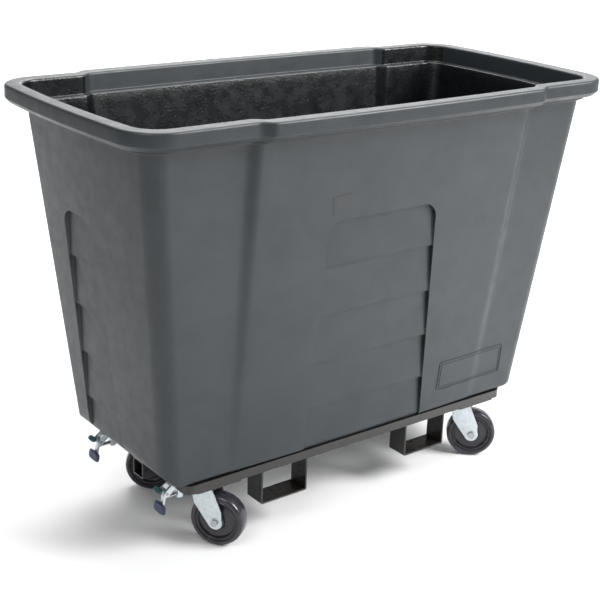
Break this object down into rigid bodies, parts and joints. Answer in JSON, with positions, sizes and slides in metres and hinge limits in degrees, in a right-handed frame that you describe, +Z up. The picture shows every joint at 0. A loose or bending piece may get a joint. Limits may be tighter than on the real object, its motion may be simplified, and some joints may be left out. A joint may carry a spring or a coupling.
{
  "type": "mobile bulk waste tote",
  "caption": "Tall tapered moulded tub with a rolled rim on a welded steel base with fork stirrups, swivel casters and foot brake pedals.",
  "frame": {"origin": "on the floor under the centre of the tub", "axes": "+X along the tub's length, away from the pedal and tow receiver end; +Y across it; +Z up"},
  "size_m": [1.6056, 0.816, 1.2],
  "materials": {
    "tub_plastic": "satin moulded grain",
    "base_paint": "gloss black paint",
    "zinc_plate": "bright zinc",
    "fastener_steel": "plain zinc",
    "wheel_plastic": "semi-gloss moulded",
    "foot_pad_plastic": "satin navy",
    "release_pad_plastic": "satin dark teal"
  },
  "bodies": {
    "root": {"tub_shell": "tub_plastic", "side_rail_near": "base_paint", "side_rail_far": "base_paint", "end_rail_left": "base_paint", "end_rail_right": "base_paint", "cross_bar_left": "base_paint", "cross_bar_right": "base_paint", "fork_stirrup_near_left": "base_paint", "fork_stirrup_near_right": "base_paint", "fork_stirrup_far_left": "base_paint", "fork_stirrup_far_right": "base_paint", "tow_receiver": "base_paint", "corner_plate_near_left": "base_paint", "corner_plate_near_right": "base_paint", "corner_plate_far_left": "base_paint", "corner_plate_far_right": "base_paint", "caster_plate_near_left": "zinc_plate", "caster_plate_near_right": "zinc_plate", "caster_plate_far_left": "zinc_plate", "caster_plate_far_right": "zinc_plate", "kingpins": "fastener_steel", "plate_bolts": "fastener_steel", "plate_nuts": "fastener_steel", "tub_bolts": "fastener_steel", "tub_nuts": "fastener_steel", "pedal_pins": "fastener_steel", "pedal_bracket_near": "zinc_plate", "pedal_bracket_far": "zinc_plate"},
    "swivel_near_left": {"fork_near_left": "zinc_plate", "axle_bolt_near_left": "fastener_steel", "axle_nut_near_left": "fastener_steel", "axle_sleeve_near_left": "fastener_steel"},
    "rolling_near_left": {"wheel_near_left": "wheel_plastic", "roller_bearing_near_left": "fastener_steel"},
    "swivel_near_right": {"fork_near_right": "zinc_plate", "axle_bolt_near_right": "fastener_steel", "axle_nut_near_right": "fastener_steel", "axle_sleeve_near_right": "fastener_steel"},
    "rolling_near_right": {"wheel_near_right": "wheel_plastic", "roller_bearing_near_right": "fastener_steel"},
    "swivel_far_left": {"fork_far_left": "zinc_plate", "axle_bolt_far_left": "fastener_steel", "axle_nut_far_left": "fastener_steel", "axle_sleeve_far_left": "fastener_steel"},
    "rolling_far_left": {"wheel_far_left": "wheel_plastic", "roller_bearing_far_left": "fastener_steel"},
    "swivel_far_right": {"fork_far_right": "zinc_plate", "axle_bolt_far_right": "fastener_steel", "axle_nut_far_right": "fastener_steel", "axle_sleeve_far_right": "fastener_steel"},
    "rolling_far_right": {"wheel_far_right": "wheel_plastic", "roller_bearing_far_right": "fastener_steel"},
    "pedal_near": {"pedal_arm_near": "zinc_plate", "foot_pad_near": "foot_pad_plastic", "release_pad_near": "release_pad_plastic"},
    "lock_near": {"lock_bolt_near": "fastener_steel"},
    "pedal_far": {"pedal_arm_far": "zinc_plate", "foot_pad_far": "foot_pad_plastic", "release_pad_far": "release_pad_plastic"},
    "lock_far": {"lock_bolt_far": "fastener_steel"}
  },
  "joints": [
    {"name": "swivel_near_left", "type": "hinge", "parent": "root", "child": "swivel_near_left", "pos_m": [-0.477, -0.18, 0.18], "axis": [0, 0, 1], "continuous": true},
    {"name": "roll_near_left", "type": "hinge", "parent": "swivel_near_left", "child": "rolling_near_left", "pos_m": [-0.45406, -0.21277, 0.0762], "axis": [0.8192, 0.5736, 0], "continuous": true},
    {"name": "swivel_near_right", "type": "hinge", "parent": "root", "child": "swivel_near_right", "pos_m": [0.477, -0.18, 0.18], "axis": [0, 0, 1], "continuous": true},
    {"name": "roll_near_right", "type": "hinge", "parent": "swivel_near_right", "child": "rolling_near_right", "pos_m": [0.50719, -0.20624, 0.0762], "axis": [0.6561, 0.7547, 0], "continuous": true},
    {"name": "swivel_far_left", "type": "hinge", "parent": "root", "child": "swivel_far_left", "pos_m": [-0.477, 0.18, 0.18], "axis": [0, 0, 1], "continuous": true},
    {"name": "roll_far_left", "type": "hinge", "parent": "swivel_far_left", "child": "rolling_far_left", "pos_m": [-0.44423, 0.15706, 0.0762], "axis": [0.5736, 0.8192, 0], "continuous": true},
    {"name": "swivel_far_right", "type": "hinge", "parent": "root", "child": "swivel_far_right", "pos_m": [0.477, 0.18, 0.18], "axis": [0, 0, 1], "continuous": true},
    {"name": "roll_far_right", "type": "hinge", "parent": "swivel_far_right", "child": "rolling_far_right", "pos_m": [0.51232, 0.16122, 0.0762], "axis": [0.4695, 0.8829, 0], "continuous": true},
    {"name": "pedal_near", "type": "hinge", "parent": "root", "child": "pedal_near", "pos_m": [-0.607, -0.18, 0.184], "axis": [0, 1, 0], "range_deg": [-20, 0]},
    {"name": "lock_near", "type": "slide", "parent": "root", "child": "lock_near", "axis": [1, 0, 0], "range_m": [0, 0.0048]},
    {"name": "pedal_far", "type": "hinge", "parent": "root", "child": "pedal_far", "pos_m": [-0.607, 0.18, 0.184], "axis": [0, 1, 0], "range_deg": [-20, 0]},
    {"name": "lock_far", "type": "slide", "parent": "root", "child": "lock_far", "axis": [1, 0, 0], "range_m": [0, 0.0048]}
  ],
  "couplings": [
    {"joint": "lock_near", "follows": "pedal_near", "m_per_rad": -0.013751},
    {"joint": "lock_far", "follows": "pedal_far", "m_per_rad": -0.013751}
  ]
}
